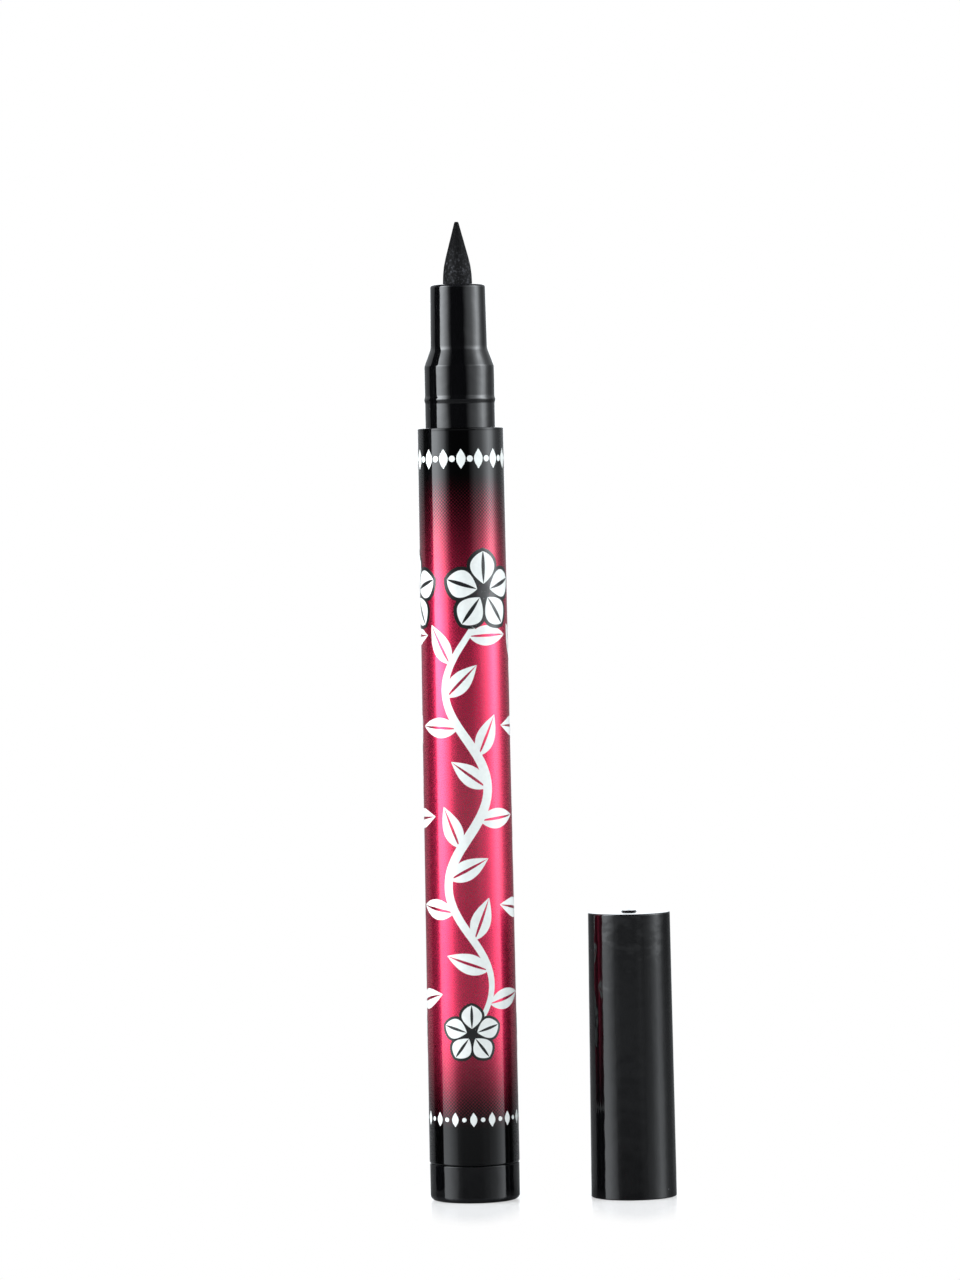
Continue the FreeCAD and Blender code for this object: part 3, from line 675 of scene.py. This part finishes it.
sprigPrint = {
    "Sprigs": 3, "Stem Foot": 20.0, "Stem Top": 72.0, "Stem Sway": 2.5, "Stem Waves": 2.25, "Stem Width": 1.15,
    "Leaf Count": 13, "Leaf Length": 5.2, "Leaf Width": 2.4, "Leaf Spread": 0.95,
    "Petal Count": 5, "Petal Length": 3.8, "Petal Width": 3.3, "Petal Start": 0.9, "Foot Share": 0.72,
    "Ring High": 87.6, "Ring Low": 9.9, "Ring Count": 5, "Seed Length": 2.3, "Seed Width": 1.15,
    "Low Share": 0.72, "Dot Radius": 0.38, "Outline": 0.42, "Ink Sink": 0.01, "Ink Lift": 0.011,
}
wholeNumbers = ("Sprigs", "Leaf Count", "Petal Count", "Ring Count")
plainNumbers = ("Stem Waves", "Leaf Spread", "Foot Share", "Low Share")
sprigDraw = {
    "strokeSteps": 20, "seedSteps": 9, "stemSteps": 150, "acrossSteps": 15, "splitSteps": 7,
    "leastArch": 0.002, "leastWidth": 0.08, "stemThin": 0.45, "midrib": 0.07,
    "leafStart": 0.2, "leafSkew": 0.8, "leafFull": 0.9, "leafFrom": 0.07, "leafTo": 0.9,
    "petalSkew": 1.15, "petalFull": 0.7, "outlineFull": 0.62,
    "eyeRadius": 0.85, "eyeSides": 24, "dotSides": 14,
    "leafLift": 0.002, "outlineLift": 0.004, "petalLift": 0.009, "eyeLift": 0.014,  # later inks lie over earlier ones
    "weld": 1e-7, "filmEdge": 35,
}
meanGirth = math.pi * (2 * barrelShape["tailRadius"] - barrelShape["draft"]) * mm


def startPrintTree(name):
    tree = bpy.data.node_groups.new(name, "GeometryNodeTree")
    for label, value in sprigPrint.items():
        whole = label in wholeNumbers
        kind = "NodeSocketInt" if whole else "NodeSocketFloat"
        socket = tree.interface.new_socket(label, in_out="INPUT", socket_type=kind)
        socket.default_value = value if whole or label in plainNumbers else value * mm
    tree.interface.new_socket("Geometry", in_out="OUTPUT", socket_type="NodeSocketGeometry")
    add = nodeAdder(tree)
    return tree, add, add("NodeGroupInput").outputs, add("NodeGroupOutput")


def joinShapes(add, shapes):
    joined = add("GeometryNodeJoinGeometry")
    for shape in shapes:
        feed(joined, [shape])
    return joined


# a flat brush stroke along +X, blunt at both ends, widest where skew puts it
def addStroke(add, start, length, width, skew, fullness, profile, steps=sprigDraw["strokeSteps"]):
    far = add("ShaderNodeMath", [start, length], "ADD")
    first = add("ShaderNodeCombineXYZ", {"X": start})
    last = add("ShaderNodeCombineXYZ", {"X": far})
    line = add("GeometryNodeCurvePrimitiveLine", {"Start": first, "End": last})
    path = add("GeometryNodeResampleCurve", {"Curve": line, "Count": steps})
    along = add("GeometryNodeSplineParameter").outputs["Factor"]
    bent = add("ShaderNodeMath", [along, skew], "POWER")
    half = add("ShaderNodeMath", [bent, math.pi], "MULTIPLY")
    arch = add("ShaderNodeMath", [half], "SINE")
    above = add("ShaderNodeMath", [arch, sprigDraw["leastArch"]], "MAXIMUM")
    full = add("ShaderNodeMath", [above, fullness], "POWER")
    wide = add("ShaderNodeMath", [full, width], "MULTIPLY")
    least = add("ShaderNodeMath", [wide, sprigDraw["leastWidth"] * mm], "MAXIMUM")
    return add("GeometryNodeCurveToMesh", {"Curve": path, "Profile Curve": profile, "Scale": least})


# lines across a stroke, one for a solid stroke and two for one with a bare midrib
def addProfile(add, spans, steps=sprigDraw["acrossSteps"]):
    lines = []
    for low, high in spans:
        line = add("GeometryNodeCurvePrimitiveLine", {"Start": (low, 0, 0), "End": (high, 0, 0)})
        lines.append(add("GeometryNodeResampleCurve", {"Curve": line, "Count": steps}))
    return joinShapes(add, lines)


# petals set round a point
def addBlossom(add, petal, count, centre, share):
    points = add("GeometryNodePoints", {"Count": count, "Position": centre})
    number = add("GeometryNodeInputIndex")
    part = add("ShaderNodeMath", [fullTurn, count], "DIVIDE")
    turn = add("ShaderNodeMath", [number, part, 0.5 * math.pi], "MULTIPLY_ADD")
    spun = add("ShaderNodeCombineXYZ", {"Z": turn})
    size = add("ShaderNodeCombineXYZ", {"X": share, "Y": share, "Z": 1.0})
    return add("GeometryNodeInstanceOnPoints", {"Points": points, "Instance": petal, "Rotation": spun, "Scale": size})


# a closed film of ink from flat shapes: sunk a little into the varnish, its face just above it
def addFilm(add, flat, sizes, extra=0.0):
    sink, lift = sizes["Ink Sink"], sizes["Ink Lift"]
    real = add("GeometryNodeRealizeInstances", [flat])
    down = add("ShaderNodeMath", [sink, -1.0], "MULTIPLY")
    below = add("ShaderNodeCombineXYZ", {"Z": down})
    sunk = add("GeometryNodeTransform", {0: real, "Translation": below})
    back = add("GeometryNodeFlipFaces", [sunk])
    top = add("ShaderNodeMath", [lift, extra * mm], "ADD")
    thick = add("ShaderNodeMath", [sink, top], "ADD")
    rise = add("ShaderNodeCombineXYZ", {"Z": thick})
    raised = add("GeometryNodeExtrudeMesh", {"Mesh": sunk, "Offset": rise, "Offset Scale": 1.0, "Individual": False})
    joined = joinShapes(add, [raised, back])
    return add("GeometryNodeMergeByDistance", {0: joined, "Distance": sprigDraw["weld"]})


# repeats the films round the barrel, then wraps flat (across, up, lift) onto the taper
def endPrintTree(add, ends, films, sprigs, ink):
    shape = barrelShape
    tailR, frontR = shape["tailRadius"] * mm, (shape["tailRadius"] - shape["draft"]) * mm
    girth = math.pi * (tailR + frontR)
    joined = joinShapes(add, films)
    number = add("GeometryNodeInputIndex")
    pitch = add("ShaderNodeMath", [girth, sprigs], "DIVIDE")
    apart = add("ShaderNodeMath", [number, pitch], "MULTIPLY")
    spread = add("ShaderNodeCombineXYZ", {"X": apart})
    points = add("GeometryNodePoints", {"Count": sprigs, "Position": spread})
    copies = add("GeometryNodeInstanceOnPoints", {"Points": points, "Instance": joined})
    real = add("GeometryNodeRealizeInstances", [copies])
    place = add("ShaderNodeSeparateXYZ", [add("GeometryNodeInputPosition")]).outputs
    angle = add("ShaderNodeMath", [place["X"], fullTurn / girth], "MULTIPLY")
    taper = add("ShaderNodeMapRange", [
        place["Y"], shape["tail"] * mm, shape["front"] * mm, tailR, frontR], clamp=False)
    radius = add("ShaderNodeMath", [taper, place["Z"]], "ADD")
    sine = add("ShaderNodeMath", [angle], "SINE")
    cosine = add("ShaderNodeMath", [angle], "COSINE")
    across = add("ShaderNodeMath", [sine, radius], "MULTIPLY")
    deep = add("ShaderNodeMath", [cosine, radius], "MULTIPLY")
    front = add("ShaderNodeMath", [deep, -1.0], "MULTIPLY")
    onBarrel = add("ShaderNodeCombineXYZ", {"X": across, "Y": front, "Z": place["Y"]})
    wrapped = add("GeometryNodeSetPosition", {"Geometry": real, "Position": onBarrel})
    last = add("GeometryNodeRealizeInstances", [wrapped])
    inked = add("GeometryNodeSetMaterial", {"Geometry": last, "Material": ink})
    feed(ends, [inked])


def addStemPath(add, sizes):
    first = add("ShaderNodeCombineXYZ", {"Y": sizes["Stem Foot"]})
    last = add("ShaderNodeCombineXYZ", {"Y": sizes["Stem Top"]})
    line = add("GeometryNodeCurvePrimitiveLine", {"Start": first, "End": last})
    path = add("GeometryNodeResampleCurve", {"Curve": line, "Count": sprigDraw["stemSteps"]})
    along = add("GeometryNodeSplineParameter").outputs["Factor"]
    waves = add("ShaderNodeMath", [sizes["Stem Waves"], fullTurn], "MULTIPLY")
    angle = add("ShaderNodeMath", [along, waves], "MULTIPLY")
    sine = add("ShaderNodeMath", [angle], "SINE")
    sway = add("ShaderNodeMath", [sine, sizes["Stem Sway"]], "MULTIPLY")
    move = add("ShaderNodeCombineXYZ", {"X": sway})
    swayed = add("GeometryNodeSetPosition", {"Geometry": path, "Offset": move})
    endSine = add("ShaderNodeMath", [waves], "SINE")
    endSway = add("ShaderNodeMath", [endSine, sizes["Stem Sway"]], "MULTIPLY")
    top = add("ShaderNodeCombineXYZ", {"X": endSway, "Y": sizes["Stem Top"]})
    return swayed, along, first, top


# a row of upright seeds with dots between them, one row's share of a turn
def addRing(add, sizes, seed, height, share):
    third = add("ShaderNodeMath", [meanGirth, sizes["Sprigs"]], "DIVIDE")
    pitch = add("ShaderNodeMath", [third, sizes["Ring Count"]], "DIVIDE")
    number = add("GeometryNodeInputIndex")
    upright = add("ShaderNodeCombineXYZ", {"Z": 0.5 * math.pi})
    size = add("ShaderNodeCombineXYZ", {"X": share, "Y": share, "Z": 1.0})
    dot = add("GeometryNodeMeshCircle", {
        "Vertices": sprigDraw["dotSides"], "Radius": sizes["Dot Radius"]}, fill_type="TRIANGLE_FAN")
    rows = []
    for shape, offset in ((seed, 0.0), (dot, 0.5)):
        step = add("ShaderNodeMath", [number, offset], "ADD")
        across = add("ShaderNodeMath", [step, pitch], "MULTIPLY")
        spot = add("ShaderNodeCombineXYZ", {"X": across, "Y": height})
        points = add("GeometryNodePoints", {"Count": sizes["Ring Count"], "Position": spot})
        rows.append(add("GeometryNodeInstanceOnPoints", {
            "Points": points, "Instance": shape, "Rotation": upright, "Scale": size}))
    return rows


def buildWhiteTree(ink):
    draw = sprigDraw
    tree, add, sizes, ends = startPrintTree("whiteSprigs")
    solid = addProfile(add, [(-0.5, 0.5)])
    split = addProfile(add, [(-0.5, -draw["midrib"]), (draw["midrib"], 0.5)], draw["splitSteps"])
    path, factor, foot, top = addStemPath(add, sizes)
    # the stem swells in its middle and thins to both ends
    half = add("ShaderNodeMath", [factor, math.pi], "MULTIPLY")
    arch = add("ShaderNodeMath", [half], "SINE")
    swell = add("ShaderNodeMapRange", {"Value": arch, "To Min": draw["stemThin"], "To Max": 1.0})
    wide = add("ShaderNodeMath", [swell, sizes["Stem Width"]], "MULTIPLY")
    stem = add("GeometryNodeCurveToMesh", {"Curve": path, "Profile Curve": solid, "Scale": wide})
    # leaves on alternate sides
    leaf = addStroke(add, draw["leafStart"] * mm, sizes["Leaf Length"], sizes["Leaf Width"],
                     draw["leafSkew"], draw["leafFull"], split)
    part = add("GeometryNodeTrimCurve", {"Curve": path, "Start": draw["leafFrom"], "End": draw["leafTo"]})
    spots = add("GeometryNodeCurveToPoints", {"Curve": part, "Count": sizes["Leaf Count"]})
    ahead = add("ShaderNodeSeparateXYZ", [spots.outputs["Tangent"]]).outputs
    heading = add("ShaderNodeMath", [ahead["Y"], ahead["X"]], "ARCTAN2")
    number = add("GeometryNodeInputIndex")
    odd = add("ShaderNodeMath", [number, 2.0], "MODULO")
    side = add("ShaderNodeMapRange", {"Value": odd, "To Min": -1.0, "To Max": 1.0})
    turn = add("ShaderNodeMath", [side, sizes["Leaf Spread"], heading], "MULTIPLY_ADD")
    turned = add("ShaderNodeCombineXYZ", {"Z": turn})
    leaves = add("GeometryNodeInstanceOnPoints", {"Points": spots, "Instance": leaf, "Rotation": turned})
    petal = addStroke(add, sizes["Petal Start"], sizes["Petal Length"], sizes["Petal Width"],
                      draw["petalSkew"], draw["petalFull"], split)
    blossomTop = addBlossom(add, petal, sizes["Petal Count"], top, 1.0)
    blossomFoot = addBlossom(add, petal, sizes["Petal Count"], foot, sizes["Foot Share"])
    back = add("ShaderNodeMath", [sizes["Seed Length"], -0.5], "MULTIPLY")
    seed = addStroke(add, back, sizes["Seed Length"], sizes["Seed Width"], 1.0, 1.0, solid, draw["seedSteps"])
    rows = addRing(add, sizes, seed, sizes["Ring High"], 1.0)
    rows += addRing(add, sizes, seed, sizes["Ring Low"], sizes["Low Share"])
    films = [addFilm(add, stem, sizes), addFilm(add, leaves, sizes, draw["leafLift"])]
    films += [addFilm(add, flat, sizes, draw["petalLift"]) for flat in (blossomTop, blossomFoot)]
    films += [addFilm(add, row, sizes) for row in rows]
    endPrintTree(add, ends, films, sizes["Sprigs"], ink)
    return tree


def buildBlackTree(ink):
    draw = sprigDraw
    tree, add, sizes, ends = startPrintTree("blackOutlines")
    solid = addProfile(add, [(-0.5, 0.5)])
    path, factor, foot, top = addStemPath(add, sizes)
    start = add("ShaderNodeMath", [sizes["Petal Start"], sizes["Outline"]], "SUBTRACT")
    longer, wider = [add("ShaderNodeMath", [sizes["Outline"], 2.0, sizes[size]], "MULTIPLY_ADD")
                     for size in ("Petal Length", "Petal Width")]
    petal = addStroke(add, start, longer, wider, draw["petalSkew"], draw["outlineFull"], solid)
    eye = add("GeometryNodeMeshCircle", {
        "Vertices": draw["eyeSides"], "Radius": draw["eyeRadius"] * mm}, fill_type="TRIANGLE_FAN")
    films = []
    for centre, share in ((top, 1.0), (foot, sizes["Foot Share"])):
        blossom = addBlossom(add, petal, sizes["Petal Count"], centre, share)
        films.append(addFilm(add, blossom, sizes, draw["outlineLift"]))
        spot = add("GeometryNodePoints", {"Count": 1, "Position": centre})
        size = add("ShaderNodeCombineXYZ", {"X": share, "Y": share, "Z": 1.0})
        middle = add("GeometryNodeInstanceOnPoints", {"Points": spot, "Instance": eye, "Scale": size})
        films.append(addFilm(add, middle, sizes, draw["eyeLift"]))
    endPrintTree(add, ends, films, sizes["Sprigs"], ink)
    return tree


def treeToMesh(name, tree):
    holder = bpy.data.objects.new(name, bpy.data.meshes.new(name))
    scene.collection.objects.link(holder)
    modifier = holder.modifiers.new(tree.name, "NODES")
    modifier.node_group = tree
    for socket in tree.interface.items_tree:
        if socket.in_out == "INPUT":
            modifier[socket.identifier] = socket.default_value
    evaluated = holder.evaluated_get(bpy.context.evaluated_depsgraph_get())
    data = bpy.data.meshes.new_from_object(evaluated)
    holder.modifiers.remove(modifier)
    bpy.data.objects.remove(holder)
    data.name = name
    data.shade_smooth()
    data.set_sharp_from_angle(angle=math.radians(sprigDraw["filmEdge"]))  # flat film tops keep crisp edges
    return data


# screen-printed ink under varnish: dense and even, with a slight unevenness from the mesh

inkLook = {
    "size": 0.5, "from": 0.3, "to": 0.7, "dark": 0.95, "light": 1.02,
    "smoother": 0.05, "rougher": 0.08, "coat": 0.7, "coatRoughness": 0.06,
}


def buildInk(name, colour, roughness):
    look = inkLook
    material, add, shader, place = startMaterial(name)
    uneven = add("ShaderNodeTexNoise", {"Vector": place, "Scale": 1 / (look["size"] * mm), "Detail": 3.0})
    level = add("ShaderNodeMapRange", [uneven, look["from"], look["to"], look["dark"], look["light"]])
    tint = add("ShaderNodeVectorMath", {0: hexColour(colour)[:3], "Scale": level}, "SCALE")
    rough = add("ShaderNodeMapRange", {
        "Value": uneven, "To Min": roughness - look["smoother"], "To Max": roughness + look["rougher"]})
    feed(shader, {
        "Base Color": tint, "Roughness": rough, "Coat Weight": look["coat"], "Coat Roughness": look["coatRoughness"]})
    return material


whiteInk = buildInk("whiteScreenInk", "F2F5F2", 0.4)
blackInk = buildInk("blackScreenInk", "0A0A0B", 0.35)
whiteMesh = treeToMesh("white_sprig_print", buildWhiteTree(whiteInk))
whiteSprigs = placePiece("white_sprig_print", whiteMesh, whiteInk, "pen")
blackMesh = treeToMesh("black_outline_print", buildBlackTree(blackInk))
blackSprigs = placePiece("black_outline_print", blackMesh, blackInk, "pen")
print("print: %d white and %d black faces" % (len(whiteSprigs.data.polygons), len(blackSprigs.data.polygons)))


# inner CAD pieces keep their shape and get their own materials

innerLooks = {
    # cloudy natural polyethylene, waxy with soft light inside
    "inner_cap": {
        "name": "mouldedNaturalPolyethylene", "colour": "E6E8E4", "dark": "D5D8D2", "roughness": 0.42,
        "size": 1.2, "depth": 0.004},
    # satin black acetal bush
    "nib_holder": {
        "name": "mouldedSatinAcetal", "colour": "19191B", "dark": "101012", "roughness": 0.38,
        "size": 0.5, "depth": 0.003},
    # bundled polyester fibre, black with ink
    "relay_wick": {
        "name": "pultrudedFibreWick", "colour": "232325", "dark": "0C0C0D", "roughness": 0.8,
        "size": 0.12, "depth": 0.02, "stretch": 20},
    "reservoir_core": {
        "name": "bundledFibreCore", "colour": "262628", "dark": "0B0B0C", "roughness": 0.85,
        "size": 0.2, "depth": 0.03, "stretch": 25},
    # thin clear film, stained by the ink behind it
    "reservoir_film": {
        "name": "clearPolypropyleneFilm", "colour": "8E9296", "dark": "6E7276", "roughness": 0.16,
        "size": 3.0, "depth": 0.004},
}
innerSpread = {"from": 0.3, "to": 0.7, "roughness": 0.06}


def buildInnerMaterial(look):
    material, add, shader, place = startMaterial(look["name"])
    fine = 1 / (look["size"] * mm)
    turned = add("ShaderNodeMapping", {"Vector": place, "Scale": (fine, fine, fine / look.get("stretch", 1))})
    noise = add("ShaderNodeTexNoise", {"Vector": turned, "Scale": 1.0, "Detail": 3.0})
    blend = add("ShaderNodeMapRange", [noise, innerSpread["from"], innerSpread["to"]])
    colour = add("ShaderNodeMix", {
        0: blend, 6: hexColour(look["dark"]), 7: hexColour(look["colour"])}, data_type="RGBA")
    rough = add("ShaderNodeMapRange", {
        "Value": noise, "To Min": look["roughness"] - innerSpread["roughness"],
        "To Max": look["roughness"] + innerSpread["roughness"]})
    bump = add("ShaderNodeBump", {"Height": noise, "Distance": look["depth"] * mm, "Strength": 1.0})
    feed(shader, {"Base Color": colour.outputs[2], "Roughness": rough, "Normal": bump})
    return material


for node, look in innerLooks.items():
    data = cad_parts[node].data
    data.materials.clear()
    data.materials.append(buildInnerMaterial(look))
print("inner pieces dressed: %d" % len(innerLooks))
